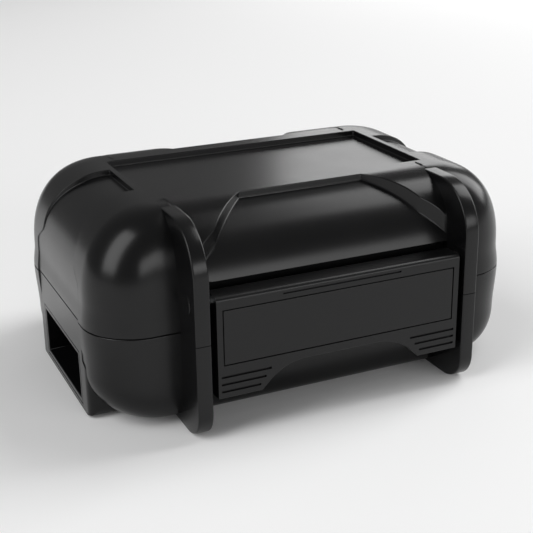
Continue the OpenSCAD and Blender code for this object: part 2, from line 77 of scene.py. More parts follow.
def size(name, text, default):
    """A length in millimetres that a user may change."""
    return bpy.props.FloatProperty(name=name, description=text, default=default, precision=2)


def shade(name, text, default):
    """A colour that a user may change."""
    return bpy.props.FloatVectorProperty(
        name=name, description=text, default=default, size=3, subtype="COLOR", min=0, max=1)


def span(node, axis, end):
    """One side of a CAD node's box, in millimetres."""
    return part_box(node)[end][axis] / MM


class StationSizes(bpy.types.PropertyGroup):
    half_length: size("Half length", "Middle to the end of the box at the joint", span("lid_shell", 0, 1))
    half_depth: size("Half depth", "Middle to the front of the box at the joint", 86.5)
    rim_height: size("Rim height", "Ground to the top of the rim", span("lid_shell", 2, 1))
    joint: size("Joint", "Ground to the middle of the joint", 58.8)
    joint_gap: size("Joint gap", "Gap between the lid and the base", 0.4)
    wall: size("Wall", "Thickness of the shells", 3.0)
    corner: size("Corner", "Corner radius seen from above, at the joint", 33.0)
    rim_corner: size("Rim corner", "Corner radius of the lid's top", 8.0)
    fullness: size("Fullness", "Power of the rounding, 2 for an ellipse", 2.3)
    lid_round: size("Lid rounding", "Height of the lid's rounding", 52.0)
    lid_reach_x: size("Lid reach, ends", "How far the rounding runs in at the ends", 43.8)
    lid_reach_y: size("Lid reach, sides", "How far the rounding runs in at the front", 30.6)
    lid_lean_x: size("Lid lean, ends", "How far the ends lean in below the rounding", 1.4)
    lid_lean_y: size("Lid lean, sides", "How far the front leans in below the rounding", 0.7)
    base_round: size("Base rounding", "Height of the base's rounding", 27.0)
    base_reach_x: size("Base reach, ends", "How far the rounding runs in at the ends", 33.6)
    base_reach_y: size("Base reach, sides", "How far the rounding runs in at the front", 12.3)
    base_lean_x: size("Base lean, ends", "How far the ends lean in above the rounding", 1.4)
    base_lean_y: size("Base lean, sides", "How far the front leans in above the rounding", 0.7)
    foot_corner: size("Foot corner", "Corner radius of the flat underside", 9.0)
    belly: size("Belly", "Ground to the underside", 3.0)
    rim_end: size("Rim at the ends", "Width of the rim beside the pocket, at the ends", 3.6)
    rim_side: size("Rim at the sides", "Width of the rim in front of the pocket", 11.8)
    pocket: size("Pocket depth", "Depth of the pocket in the lid", 3.8)
    channel_top: size("Channel top", "Half width of an end's hollow at the rim", 24.0)
    channel: size("Channel", "Half width of an end's hollow lower down", 34.0)
    channel_depth: size("Channel depth", "Depth of an end's hollow at the rim", 3.4)
    flat: size("Flat", "Half width of the flat at each end", 46.5)
    flat_inset: size("Flat inset", "How far the flat stands inside the end", 0.9)
    hood_half: size("Hood half", "Half length of the hood's top edge", 40.3)
    hood_turn: size("Hood turn", "Where the sides of the hood's hollow turn", 66.2)
    hood_step: size("Hood step", "Step from the rim to the hood", 3.6)
    hood_r: size("Hood radius", "Radius of the hood's front", 54.3)
    hood_reach: size("Hood reach", "How far the hood's curve comes forward", 38.3)
    hood_edge: size("Hood edge", "Ground to the hood's lower edge", 87.0)
    brow_r: size("Brow radius", "Radius of the fuller lid beside the hood", 36.0)
    hoop_in: size("Hoop inside", "Middle to the inner face of a hoop", 81.2)
    hoop_thick: size("Hoop thickness", "Thickness of a hoop", 9.0)
    hoop_front: size("Hoop front", "Middle to the front of a hoop", 110.0)
    hoop_top: size("Hoop top", "Ground to the top of a hoop", 124.8)
    hoop_r: size("Hoop corner", "Radius of a hoop's front top corner", 31.0)
    hoop_rear_r: size("Hoop rear corner", "Radius of a hoop's rear top corner", 69.0)
    hoop_foot_r: size("Hoop foot", "Radius of a hoop's lower corners", 17.0)
    cap_r: size("Cap radius", "Radius of the caps on the pivot rod's ends", 5.8)
    hoop_edge: size("Hoop edge", "Rounding of a hoop's edges", 1.0)
    skirt: size("Skirt", "Half width of the skirt at each end", 57.0)
    skirt_r: size("Skirt corner", "Radius of the skirt's upright edges", 7.0)
    mouth: size("Mouth", "Half width of the hole that holds a sleeve", 40.55)
    mouth_low: size("Mouth low", "Ground to the lower edge of that hole", 3.45)
    mouth_high: size("Mouth high", "Ground to the upper edge of that hole", 37.55)


class FlapSizes(bpy.types.PropertyGroup):
    half: size("Half length", "Half length of the flap", span("latch_flap", 0, 1))
    low: size("Lower edge", "Ground to the flap's lower edge", span("latch_flap", 2, 0))
    top: size("Upper edge", "Ground to the flap's upper edge", span("latch_flap", 2, 1))
    front: size("Front", "Middle to the flap's face", -span("latch_flap", 1, 0))
    wall: size("Wall", "Thickness of the face", 3.2)
    side_depth: size("Side depth", "Depth of the turned-back sides", 10.0)
    rail_depth: size("Rail depth", "Depth of the lip along the lower edge", 8.0)
    edge_r: size("Edge", "Rounding of the upper edge", 3.0)
    pivot_y: size("Pivot y", "Middle to the pivot", 97.0)
    pivot_z: size("Pivot z", "Ground to the pivot", 80.0)
    barrel_r: size("Barrel", "Radius of the barrel round the pivot", 5.2)
    scoop_base: size("Scoop base", "Length of the finger scoop at the lower edge", 102.0)
    scoop_top: size("Scoop top", "Length of the finger scoop along its top", 73.2)
    scoop_height: size("Scoop height", "Height of the finger scoop", 14.4)
    scoop_r: size("Scoop corner", "Radius of the finger scoop's upper corners", 33.0)
    label_half: size("Label half", "Half length of the label plate", span("label_plate", 0, 1))
    label_low: size("Label low", "Ground to the label plate", span("label_plate", 2, 0))
    label_high: size("Label high", "Ground to the top of the label plate", span("label_plate", 2, 1))
    label_gap: size("Label gap", "Line round the label plate", 0.6)
    label_depth: size("Label depth", "Depth of the label's recess", 1.2)
    groove: size("Groove", "Height of a grip groove", 1.3)
    groove_depth: size("Groove depth", "Depth of a grip groove", 1.3)
    slit_half: size("Slit half", "Half length of the slit above the label", 37.7)
    slit_depth: size("Slit depth", "Depth of the slit above the label", 1.0)


class Finishes(bpy.types.PropertyGroup):
    shell: shade("Shell", "Colour of the moulded shells", (0.0030, 0.0030, 0.0032))
    flap: shade("Flap", "Colour of the flap", (0.0032, 0.0032, 0.0034))
    label: shade("Label", "Colour of the label plate", (0.0036, 0.0036, 0.0038))
    inside: shade("Inside", "Colour of the inner parts", (0.006, 0.006, 0.0063))
    steel: shade("Steel", "Colour of rods and pins", (0.42, 0.43, 0.44))
    bait: shade("Bait", "Colour of the bait blocks", (0.03, 0.16, 0.15))
    rubber: shade("Rubber", "Colour of the pads", (0.012, 0.012, 0.012))
    floor: shade("Floor", "Colour of the floor", (0.93, 0.93, 0.93))


# ---------------------------------------------------------------- mesh tools


def make(name, points, faces, body, replaces=(), sharp=38, bevel=0.0, weld=0.02, flats=0.0):
    """A mesh object from points in millimetres. Doubles are merged and faces point outwards."""
    mesh = bpy.data.meshes.new(name)
    mesh.from_pydata((np.asarray(points) * MM).tolist(), [], [list(map(int, f)) for f in faces])
    bm = bmesh.new()
    bm.from_mesh(mesh)
    bmesh.ops.remove_doubles(bm, verts=bm.verts, dist=weld * MM)
    bmesh.ops.dissolve_degenerate(bm, edges=bm.edges, dist=weld * MM)
    if flats:
        bmesh.ops.dissolve_limit(bm, angle_limit=math.radians(flats), verts=bm.verts, edges=bm.edges)
    if bm.calc_volume(signed=True) < 0:
        bmesh.ops.reverse_faces(bm, faces=bm.faces)
    bm.to_mesh(mesh)
    bm.free()
    obj = bpy.data.objects.new(name, mesh)
    bpy.context.scene.collection.objects.link(obj)
    mesh.shade_smooth()
    mesh.set_sharp_from_angle(angle=math.radians(sharp))
    if bevel:
        add_bevel(obj, bevel, sharp)
    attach(obj, body)
    if replaces:
        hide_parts(*replaces)
    return obj


def add_bevel(obj, width, angle=30):
    """A narrow rounding on every edge sharper than angle."""
    b = obj.modifiers.new("edge", "BEVEL")
    b.width = width * MM
    b.segments = 3
    b.limit_method = "ANGLE"
    b.angle_limit = math.radians(angle)
    b.use_clamp_overlap = False


def grid_faces(rows, cols, close_rows=False, close_cols=False, start=0):
    """Quads of a rows by cols grid of points, closed into a loop either way if asked."""
    r = np.arange(rows if close_rows else rows - 1)
    c = np.arange(cols if close_cols else cols - 1)
    r, c = np.meshgrid(r, c, indexing="ij")
    a = r * cols + c
    b = r * cols + (c + 1) % cols
    d = ((r + 1) % rows) * cols + c
    e = ((r + 1) % rows) * cols + (c + 1) % cols
    return (np.stack([a, b, e, d], -1).reshape(-1, 4) + start).tolist()


def polished(node, bevel):
    """A merged copy of a flat-sided CAD node, with its edges rounded. It stands for the node."""
    source = frame["nodes"][node]
    mesh = source.data
    co = np.empty(len(mesh.vertices) * 3)
    mesh.vertices.foreach_get("co", co)
    faces = [list(p.vertices) for p in mesh.polygons]
    new = bpy.data.meshes.new(node + "_piece")
    new.from_pydata(co.reshape(-1, 3).tolist(), [], faces)
    bm = bmesh.new()
    bm.from_mesh(new)
    bmesh.ops.remove_doubles(bm, verts=bm.verts, dist=0.01 * MM)
    bmesh.ops.dissolve_limit(bm, angle_limit=math.radians(0.5), verts=bm.verts, edges=bm.edges)
    bm.to_mesh(new)
    bm.free()
    obj = bpy.data.objects.new(new.name, new)
    bpy.context.scene.collection.objects.link(obj)
    new.shade_smooth()
    new.set_sharp_from_angle(angle=math.radians(35))
    if bevel:
        add_bevel(obj, bevel, 35)
    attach(obj, source["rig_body"])
    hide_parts(node)
    return obj


# ---------------------------------------------------------------- the shells


def shell_level(s, lid, z):
    """Half length, half depth and corner radius of the outside at heights z.

    Above the spring of the rounding t = (z - spring) / height and c = (1 - t^p)^(1/p), where p
    is the fullness. Each size is its value at the flat top plus its reach times c. Between the
    spring and the joint the wall leans in along a smooth step 3q^2 - 2q^3."""
    z = np.asarray(z, float)
    if lid:
        spring, height = s.rim_height - s.lid_round, s.lid_round
        t = np.clip((z - spring) / height, 0, 1)
        reach, lean, end_r = (s.lid_reach_x, s.lid_reach_y), (s.lid_lean_x, s.lid_lean_y), s.rim_corner
        low = np.clip((spring - z) / (spring - s.joint), 0, 1)
    else:
        spring, height = s.belly + s.base_round, s.base_round
        t = np.clip((spring - z) / height, 0, 1)
        reach, lean, end_r = (s.base_reach_x, s.base_reach_y), (s.base_lean_x, s.base_lean_y), s.foot_corner
        low = np.clip((z - spring) / (s.joint - spring), 0, 1)
    c = (1 - t ** s.fullness) ** (1 / s.fullness)
    low = low * low * (3 - 2 * low)
    x = s.half_length - lean[0] * (1 - low) - reach[0] * (1 - c)
    y = s.half_depth - lean[1] * (1 - low) - reach[1] * (1 - c)
    return x, y, end_r + (s.corner - end_r) * c


def half_ring(x, y, r, flat, xh, inner_x, counts):
    """Points round the +X half of a level, from the front at x = xh to the rear at x = xh.

    x, y, r, flat and inner_x are columns, one value for each level: a straight front, a round
    corner, the end as far as the flat, a step to inner_x, the flat, and the same mirrored."""
    n_front, n_arc, n_end, n_flat = counts
    col = lambda v: np.asarray(v, float).reshape(-1, 1)
    x, y, r, flat, inner_x = map(col, (x, y, r, flat, inner_x))
    f = np.linspace(0, 1, n_front)[None, :-1]
    front = (xh + (x - r - xh) * f, -y + 0 * f)
    a = np.linspace(-np.pi / 2, 0, n_arc)[None, :]
    arc = (x - r + r * np.cos(a), -(y - r) + r * np.sin(a))
    e = np.linspace(0, 1, n_end)[None, 1:]
    end = (x + 0 * e, -(y - r) + ((y - r) - flat) * e)
    w = np.linspace(-1, 1, n_flat)[None, :]
    middle = (inner_x + 0 * w, flat * w * 0.992)
    px = np.concatenate([front[0], arc[0], end[0], middle[0]], 1)
    py = np.concatenate([front[1], arc[1], end[1], middle[1]], 1)
    k = px.shape[1] - n_flat
    return np.concatenate([px, px[:, :k][:, ::-1]], 1), np.concatenate([py, -py[:, :k][:, ::-1]], 1)


def lid_points(s, n_mid=56):
    """The lid as one grid of points, rows by columns, round a closed loop of columns.

    Columns between the hoops run along X: there the outside is the pocket, the rim, the brow's
    circle, a drop to the hood, the hood's circle, and the plain wall below the hood. The other
    columns follow half_ring, with the hollow in the end as its middle part."""
    top, joint = s.rim_height, s.joint + s.joint_gap / 2
    spring, p = top - s.lid_round, s.fullness
    rim_x = s.half_length - s.lid_lean_x - s.lid_reach_x
    rim_y = s.half_depth - s.lid_lean_y - s.lid_reach_y
    px, py = rim_x - s.rim_end, rim_y - s.rim_side
    floor = top - s.pocket
    xh = s.hoop_in + 2.3
    n1, n2, n3, n4, n5 = 12, 3, 30, 2, 12
    # rows of the ends: heights and c values of the rounding down to the hood's edge, then below
    a_end = math.asin(((s.hood_edge - spring) / s.lid_round) ** (p / 2))
    a = np.linspace(np.pi / 2, a_end, n3)
    zt = np.sin(a) ** (2 / p)
    z3 = spring + s.lid_round * zt
    z5 = np.linspace(s.hood_edge, joint, n5)
    counts = (6, 26, 10, 26)

    def ring_at(z, flat, inner_x):
        x, y, r = shell_level(s, True, z)
        return half_ring(x, y, r, flat, xh, inner_x, counts)

    def flat_half(z):
        up = np.clip((z - 96) / (top - 96), 0, 1)
        low = np.clip((92 - z) / 12, 0, 1)
        wide = (s.flat - s.channel) * low * low * (3 - 2 * low)
        return s.channel + (s.channel_top - s.channel) * up ** 1.5 + wide

    def hollow_x(z):
        x_out = shell_level(s, True, z)[0]
        return x_out - np.interp(z, [joint, spring, top], [s.flat_inset, 0.5, 0.5])

    x3, y3 = ring_at(z3, flat_half(z3), hollow_x(z3))
    x5, y5 = ring_at(z5, flat_half(z5), hollow_x(z5))
    cols = x3.shape[1]
    k0 = (cols - counts[3]) // 2
    hollow = np.zeros(cols)
    hollow[k0:k0 + counts[3]] = 1
    sink = (zt - zt[-1]) / (1 - zt[-1])
    zz3 = z3[:, None] - s.channel_depth * hollow[None] * sink[:, None]
    x3[0, hollow > 0] = rim_x
    rim_row = np.stack([x3[0], y3[0], np.full(cols, top)], -1)
    pocket_row = np.clip(rim_row, [-px, -py, 0], [px, py, top])
    f = np.linspace(0, 1, n1)[:, None, None]
    rows_a = [pocket_row * (1 - f) + rim_row * f]
    f = np.linspace(0, 1, n2)[:, None, None]
    rows_a.append(rim_row * (1 - f) + np.stack([x3[0], y3[0], zz3[0]], -1) * f)
    rows_a.append(np.stack([x3, y3, zz3], -1))
    z5_full = np.broadcast_to(z5[:, None], x5.shape)
    first = np.stack([x3[-1], y3[-1], zz3[-1]], -1)
    last = np.stack([x5[0], y5[0], z5_full[0]], -1)
    f = np.linspace(0, 1, n4)[:, None, None]
    rows_a.append(first * (1 - f) + last * f)
    rows_a.append(np.stack([x5, y5, z5_full], -1))
    ends = np.concatenate(rows_a, 0)

    # columns between the hoops, front side, from x = 0 to xh
    edges = np.unique(np.concatenate([np.linspace(0, s.hood_half, n_mid // 2),
                                      np.linspace(s.hood_half, s.hood_turn, n_mid // 3),
                                      np.linspace(s.hood_turn, s.hoop_in, n_mid // 4), [xh]]))
    x = edges[None, :]
    yb = rim_y + np.clip(x - s.hood_half, 0, s.hood_turn - s.hood_half) \
        + np.clip((x - s.hood_turn) / (s.hoop_in - s.hood_turn), 0, 1) * 8
    arc_a = np.arcsin(np.clip((yb - rim_y) / s.brow_r, 0, 1))
    run = (rim_y - py) + s.brow_r * arc_a
    d = np.linspace(0, 1, n1)[:, None] * run
    ang = np.clip((d - (rim_y - py)) / s.brow_r, 0, None)
    y1 = np.where(d < rim_y - py, py + d, rim_y + s.brow_r * np.sin(ang))
    z1 = np.where(d < rim_y - py, top, top - s.brow_r * (1 - np.cos(ang)))
    hcy = rim_y + s.hood_reach - s.hood_r
    hcz = (top - s.hood_step) - math.sqrt(s.hood_r ** 2 - (rim_y - hcy) ** 2)
    b0 = np.arccos(np.clip((yb - hcy) / s.hood_r, -1, 1))
    b1 = math.asin((s.hood_edge - hcz) / s.hood_r)
    b = b0 + (b1 - b0) * np.linspace(0, 1, n3)[:, None]
    y3m, z3m = hcy + s.hood_r * np.cos(b), hcz + s.hood_r * np.sin(b)
    f = np.linspace(0, 1, n2)[:, None]
    y2, z2 = yb + 0 * f, z1[-1:] + (z3m[:1] - z1[-1:]) * f
    wall_y = shell_level(s, True, z5)[1][:, None] + 0 * x
    f = np.linspace(0, 1, n4)[:, None]
    y4, z4 = y3m[-1:] + (wall_y[:1] - y3m[-1:]) * f, s.hood_edge + 0 * f + 0 * x
    ys = np.concatenate([y1, y2, y3m, y4, wall_y], 0)
    zs = np.concatenate([z1, z2, z3m, z4, z5[:, None] + 0 * x], 0)
    xs = np.broadcast_to(x, ys.shape)
    front = np.stack([xs, -ys, zs], -1)
    rear = np.stack([xs, ys, zs], -1)[:, ::-1]
    half = np.concatenate([front, ends, rear], 1)
    return half, px, floor, xh, counts, edges


def close_shell(s, half, lid, centre_z, x_limit, inner_level, xh, counts, edges):
    """The whole closed shell from the +X half of its outside.

    Adds the middle of the outside, along y = 0 at height centre_z and no further out than x_limit,
    then the inside's levels, then the same points with x negated."""
    if lid:
        edge = half[:1].copy()
        low = edge.copy()
        low[..., 2] = centre_z
        centre = low.copy()
        centre[..., 0] = np.clip(centre[..., 0], -x_limit, x_limit)
        centre[..., 1] = 0
        outside = np.concatenate([centre, low, half], 0)
    else:
        centre = half[-1:].copy()
        centre[..., 1] = 0
        outside = np.concatenate([half, centre], 0)[::-1]
    zi, ci = inner_level
    x, y, r = ci
    rx, ry = half_ring(x, y, r, np.minimum(s.flat, y - r), xh, x, counts)
    mid = len(edges)
    fx = np.broadcast_to(edges[None], (len(zi), mid))
    fy = np.broadcast_to(-np.asarray(y)[:, None], (len(zi), mid))
    gx = np.concatenate([fx, rx, fx[:, ::-1]], 1)
    gy = np.concatenate([fy, ry, -fy[:, ::-1]], 1)
    inner = np.stack([gx, gy, np.broadcast_to(np.asarray(zi)[:, None], gx.shape)], -1)
    last = inner[-1:].copy()
    last[..., 1] = 0
    grid = np.concatenate([outside, inner, last], 0)
    left = grid[:, ::-1].copy()
    left[..., 0] *= -1
    return np.concatenate([grid, left], 1)


def inner_levels(s, lid, n=14):
    """Heights from the joint to the inside of the flat, and the inside's sizes there."""
    if lid:
        z_edge, z_end = s.joint + s.joint_gap / 2, s.rim_height - s.pocket - s.wall
        spring, outer = s.rim_height - s.lid_round, s.lid_round
    else:
        z_edge, z_end = s.joint - s.joint_gap / 2, s.belly + s.wall
        spring, outer = s.belly + s.base_round, -s.base_round
    a = np.linspace(0, np.pi / 2, n)
    t = np.sin(a) ** (2 / s.fullness)
    z = np.concatenate([[z_edge], spring + (z_end - spring) * t])
    same = np.concatenate([[z_edge], spring + outer * t])
    x, y, r = shell_level(s, lid, same)
    c = np.concatenate([[1], np.cos(a) ** (2 / s.fullness)])
    return z, (x - s.wall * c, y - s.wall * c, np.maximum(r - s.wall * c, 2))


def base_points(s, edges):
    """The outside of the base, from the joint down its leaning wall and rounding to the underside."""
    joint = s.joint - s.joint_gap / 2
    spring, p = s.belly + s.base_round, s.fullness
    a = np.linspace(0, np.pi / 2, 30)
    z = np.concatenate([np.linspace(joint, spring, 8), spring - s.base_round * np.sin(a[1:]) ** (2 / p)])
    x, y, r = shell_level(s, False, z)
    xh = s.hoop_in + 2.3
    counts = (6, 26, 10, 26)
    flat = np.minimum(s.flat, y - r)
    gx, gy = half_ring(x, y, r, flat, xh, np.minimum(x, s.half_length - s.flat_inset - 0.3), counts)
    ends = np.stack([gx, gy, np.broadcast_to(z[:, None], gx.shape)], -1)
    xs = np.broadcast_to(edges[None], (len(z), len(edges)))
    ys = np.broadcast_to(y[:, None], xs.shape)
    zs = np.broadcast_to(z[:, None], xs.shape)
    front, rear = np.stack([xs, -ys, zs], -1), np.stack([xs, ys, zs], -1)[:, ::-1]
    return np.concatenate([front, ends, rear], 1), xh, counts


def section(s, lid, z, x_at):
    """Half depth of the outside at height z, on the plane x = x_at."""
    x, y, r = shell_level(s, lid, z)
    dx = np.clip(x_at - (x - r), 0, r)
    return y - r + np.sqrt(np.maximum(r * r - dx * dx, 0))


def arc_path(cy, cz, r, a0, a1, n):
    """n points on a circle about (cy, cz), from angle a0 to a1 in degrees."""
    a = np.radians(np.linspace(a0, a1, n))
    return np.stack([cy + r * np.cos(a), cz + r * np.sin(a)], -1)


def line_path(p, q, n):
    """n points on the straight line from p to q."""
    f = np.linspace(0, 1, n)[:, None]
    return np.asarray(p) * (1 - f) + np.asarray(q) * f


def leg(s, outer, inner, side):
    """A hoop's stretch: a flat-sided section carried along outer, as deep as inner, with round edges.

    At each station the section runs from inner to outer along the line between them, and its
    two outer edges are quarter circles of the edge radius."""
    t, e = s.hoop_thick / 2, s.hoop_edge
    mid = s.hoop_in + t
    d = outer - inner
    d = d / np.linalg.norm(d, axis=1)[:, None]
    q = np.radians(np.linspace(0, 90, 5))
    across = np.concatenate([[-t], -t + e - e * np.cos(q), t - e + e * np.cos(q[::-1]), [t]])
    back = np.concatenate([[np.inf], e - e * np.sin(q), e - e * np.sin(q[::-1]), [np.inf]])
    deep = np.isinf(back)
    yz = outer[:, None, :] - d[:, None, :] * np.where(deep, 0, back)[None, :, None]
    yz[:, deep, :] = inner[:, None, :]
    n, m = len(outer), len(across)
    x = np.broadcast_to(side * (mid + across)[None, :], (n, m))
    pts = np.concatenate([x[..., None], yz], -1).reshape(-1, 3)
    faces = grid_faces(n, m, close_cols=True)
    faces += [list(range(m))[::-1], [(n - 1) * m + i for i in range(m)]]
    if side < 0:
        faces = [f[::-1] for f in faces]
    return pts, faces


def joined(parts):
    """One list of points and faces from several."""
    pts, faces, start = [], [], 0
    for p, f in parts:
        pts.append(p)
        faces += [[i + start for i in face] for face in f]
        start += len(p)
    return np.concatenate(pts), faces


def resample(path, n):
    """n points evenly spaced along a path."""
    step = np.concatenate([[0], np.cumsum(np.linalg.norm(np.diff(path, axis=0), axis=1))])
    d = np.linspace(0, step[-1], n)
    return np.stack([np.interp(d, step, path[:, k]) for k in range(2)], -1)


def lid_legs(s):
    """Front and rear stretches of both hoops above the joint."""
    z0 = s.joint + s.joint_gap / 2
    mid = s.hoop_in + s.hoop_thick / 2
    f, r = s.hoop_front, s.hoop_r
    cy, cz = f - r, s.hoop_top - r
    outer = np.concatenate([line_path((f, z0), (f, cz), 8)[:-1], arc_path(cy, cz, r, 0, 90, 28)[:-1],
                            line_path((cy, s.hoop_top), (56.5, s.hoop_top), 8)])
    z = s.rim_height - s.lid_round * (1 - np.sin(np.linspace(0, np.pi / 2, 60)) ** (2 / s.fullness))
    z = np.concatenate([np.linspace(z0, z[0], 10)[:-1], z])
    y = section(s, True, z, mid)
    skin = np.stack([y - 1.6, np.minimum(z - 1.2, s.hoop_top - 1.5)], -1)
    skin[0, 1] = z0
    keep = skin[skin[:, 0] > 53.5]
    parts = []
    for side in (-1, 1):
        o, i = resample(outer, 60), resample(keep, 60)
        parts.append(leg(s, o * [-1, 1], i * [-1, 1], side))
        R = s.hoop_rear_r
        a0 = math.degrees(math.asin((z0 - (s.hoop_top - R)) / R))
        back = arc_path(f - R, s.hoop_top - R, R, a0, 68, 50)
        keep_r = skin[skin[:, 0] > 68]
        keep_r = keep_r[keep_r[:, 1] < s.hoop_top - R + R * math.sin(math.radians(68)) - 3]
        p, fc = leg(s, resample(back, 60), resample(keep_r, 60), side)
        parts.append((p, [q[::-1] for q in fc]))
    return joined(parts)


def base_legs(s):
    """The hoops below the joint: down the front, along the ground and up the rear to the hinge's notch."""
    z1 = s.joint - s.joint_gap / 2
    f, r = s.hoop_front, s.hoop_foot_r
    mid = s.hoop_in + s.hoop_thick / 2
    down = line_path((-f, z1), (-f, r), 16)[:-1]
    foot = arc_path(-f + r, r, r, 180, 270, 22)[:-1]
    ground = line_path((-f + r, 0), (f - r, 0), 16)[:-1]
    foot2 = arc_path(f - r, r, r, 270, 360, 22)[:-1]
    notch_y, notch_z = 103.5, 52.3
    notch = np.concatenate([line_path((f, notch_z), (notch_y, notch_z), 4)[1:],
                            line_path((notch_y, notch_z), (notch_y, z1), 6)[1:]])
    up = line_path((f, r), (f, notch_z), 10)
    outer = np.concatenate([down, foot, ground, foot2, up, notch])
    spring = s.belly + s.base_round
    wall_z = np.linspace(z1, spring, 15)
    wall = np.stack([-section(s, False, wall_z, mid) + 1.6, wall_z], -1)
    a = np.linspace(0, np.pi / 2, 21)
    zb = spring - s.base_round * np.sin(a) ** (2 / s.fullness)
    bend = np.stack([-section(s, False, zb, mid) + 1.6, zb + 1.5 * np.sin(a)], -1)
    low = line_path((bend[-1, 0], bend[-1, 1]), (-bend[-1, 0], bend[-1, 1]), 16)[:-1]
    inner = np.concatenate([wall, bend, low, (bend * [-1, 1])[::-1]])
    rear = (wall * [-1, 1])[::-1]
    inner = np.concatenate([inner, resample(rear, len(outer) - len(inner))])
    parts = []
    for side in (-1, 1):
        p, fc = leg(s, outer, inner, side)
        parts.append((p, [q[::-1] for q in fc]))
    return joined(parts)


def skirt_frame(s, side):
    """The frame round an entrance: rings of points from inside the mouth, over its edge, across the
    end's flat to the frame's outline, over that edge and back under the base.

    Seen from above the face is flat as far as the upright edges, which are quarter circles."""
    n = 24
    x_face = s.half_length - s.flat_inset
    m, lo, hi, k = s.mouth, s.mouth_low, s.mouth_high, s.skirt
    top = s.joint - s.joint_gap / 2 - 0.05

    def loop(corner_lo, left, right, top_pts):
        return np.concatenate([corner_lo, right, top_pts, left])

    c = s.skirt_r
    q = np.radians(np.linspace(-90, 0, 7))
    bend = np.stack([k - c + c * np.cos(q), 0.3 + c + c * np.sin(q)], -1)
    inner = loop(line_path((-m, lo), (m, lo), 2 * n)[:-1], line_path((-m, hi), (-m, lo), 2 * n)[:-1],
                 line_path((m, lo), (m, hi), 2 * n)[:-1], line_path((m, hi), (-m, hi), 2 * n)[:-1])
    low_z, turn_z = 29, 34
    side_path = np.concatenate([
        bend[:-1], line_path((k, 0.3 + c), (k, low_z), n)[:-1],
        line_path((k, low_z), (s.flat, turn_z), 6)[:-1], line_path((s.flat, turn_z), (s.flat, top), n - 4)])
    right = resample(side_path, 2 * n)[:-1]
    left = resample(side_path[::-1] * [-1, 1], 2 * n)[:-1]
    outer = loop(line_path((-k + c, 0.3), (k - c, 0.3), 2 * n)[:-1], left, right,
                 line_path((s.flat, top), (-s.flat, top), 2 * n)[:-1])

    def face_x(y):
        over = np.clip(np.abs(y) - (k - s.skirt_r), 0, s.skirt_r)
        return x_face - s.skirt_r + np.sqrt(np.maximum(s.skirt_r ** 2 - over ** 2, 0))

    rings = [np.column_stack([np.full(len(inner), x_face - 36), inner]),
             np.column_stack([np.full(len(inner), x_face - 0.5), inner])]
    grow = inner + np.sign(inner - [0, (lo + hi) / 2]) * 0.35
    rings.append(np.column_stack([np.full(len(inner), x_face), grow]))
    for f in np.linspace(0, 1, 14)[1:]:
        yz = grow * (1 - f) + outer * f
        if f == 1:
            low = yz[:, 1] < 1
            yz[low, 1] += 0.7
        rings.append(np.column_stack([face_x(yz[:, 0]), yz]))
    edge = np.column_stack([face_x(outer[:, 0]) - 0.7, outer])
    rings.append(edge)
    back = edge.copy()
    back[:, 0] = 97
    back[outer[:, 1] > 33, 0] = x_face - 5
    rings.append(back)
    g = np.stack(rings)
    g[..., 0] *= side
    faces = grid_faces(g.shape[0], g.shape[1], close_rows=True, close_cols=True)
    return g.reshape(-1, 3), faces


# ---------------------------------------------------------------- the flap


def scoop_line(f, x):
    """Height of the flap's lower edge at x: the slanted scoop with round upper corners, or the edge."""
    run = (f.scoop_base - f.scoop_top) / 2
    slope = math.atan2(f.scoop_height, run)
    top = f.low + f.scoop_height
    turn = f.scoop_r * math.tan(slope / 2)
    ax = np.abs(x)
    start = f.scoop_top / 2 - turn
    z_arc = top - f.scoop_r + np.sqrt(np.maximum(f.scoop_r ** 2 - (ax - start) ** 2, 0))
    end = start + f.scoop_r * math.sin(slope)
    z_line = top - f.scoop_r * (1 - math.cos(slope)) - (ax - end) * math.tan(slope)
    z = np.where(ax < start, top, np.where(ax < end, z_arc, z_line))
    return np.maximum(z, f.low)


